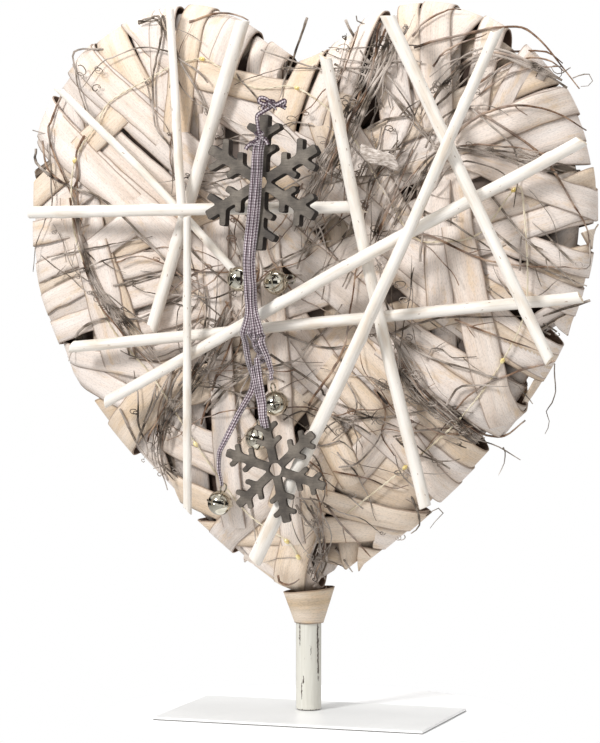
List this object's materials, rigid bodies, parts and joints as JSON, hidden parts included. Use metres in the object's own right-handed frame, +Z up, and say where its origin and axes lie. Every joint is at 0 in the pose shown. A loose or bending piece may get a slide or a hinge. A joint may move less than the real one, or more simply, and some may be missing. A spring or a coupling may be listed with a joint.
{
  "type": "lighted heart ornament on stand",
  "caption": "Flat hollow heart of wound veneer strips on a post and plate, with sticks, twigs, a light string, plywood snowflakes, a checked ribbon and small bells.",
  "frame": {"origin": "centre of the plate's underside", "axes": "+Z up along the post, +X to the right and -Y towards the viewer, the front of the heart"},
  "size_m": [0.3837, 0.1148, 0.46],
  "materials": {
    "veneer": "thin whitewashed veneer strip, matt, grain along the strip",
    "peeled_willow": "peeled and whitewashed stick with darker knots, matt",
    "twig": "dry grey brown climbing twig, matt",
    "bark": "pale rough bark",
    "stained_plywood": "grey brown stained plywood with darker burnt edges",
    "gingham": "small mauve grey and white checks, woven",
    "nickel": "polished plated sheet metal",
    "cable": "cream wire with warm white lamps",
    "white_paint": "satin white paint, scratched and chipped on the post"
  },
  "bodies": {
    "root": {"bark_piece": "bark", "base_plate": "white_paint", "bell_behind_flake": "nickel", "bell_ribbon_left": "nickel", "bell_ribbon_right": "nickel", "bell_tail_left": "nickel", "bell_tail_right": "nickel", "collar": "veneer", "light_string": "cable", "lower_snowflake": "stained_plywood", "post": "white_paint", "ribbon_bundle": "gingham", "ribbon_tail_left": "gingham", "ribbon_tail_middle": "gingham", "ribbon_tail_right": "gingham", "stick_left_fall": "peeled_willow", "stick_left_level": "peeled_willow", "stick_left_lower": "peeled_willow", "stick_left_slant": "peeled_willow", "stick_left_upper": "peeled_willow", "stick_long_level": "peeled_willow", "stick_long_rise": "peeled_willow", "stick_right_fall": "peeled_willow", "stick_right_rise": "peeled_willow", "stick_right_upright": "peeled_willow", "strip_01": "veneer", "strip_02": "veneer", "strip_03": "veneer", "strip_04": "veneer", "strip_05": "veneer", "strip_06": "veneer", "strip_07": "veneer", "strip_08": "veneer", "strip_09": "veneer", "strip_10": "veneer", "strip_11": "veneer", "strip_12": "veneer", "strip_13": "veneer", "strip_14": "veneer", "strip_15": "veneer", "strip_16": "veneer", "strip_17": "veneer", "strip_18": "veneer", "strip_19": "veneer", "strip_20": "veneer", "strip_21": "veneer", "strip_22": "veneer", "strip_23": "veneer", "strip_24": "veneer", "strip_25": "veneer", "strip_26": "veneer", "strip_27": "veneer", "upper_snowflake": "stained_plywood", "vine_band": "twig", "vine_left": "twig", "vine_lobe": "twig", "vine_lower_left": "twig", "vine_lower_right": "twig", "vine_notch": "twig", "vine_tip": "twig"}
  },
  "joints": []
}
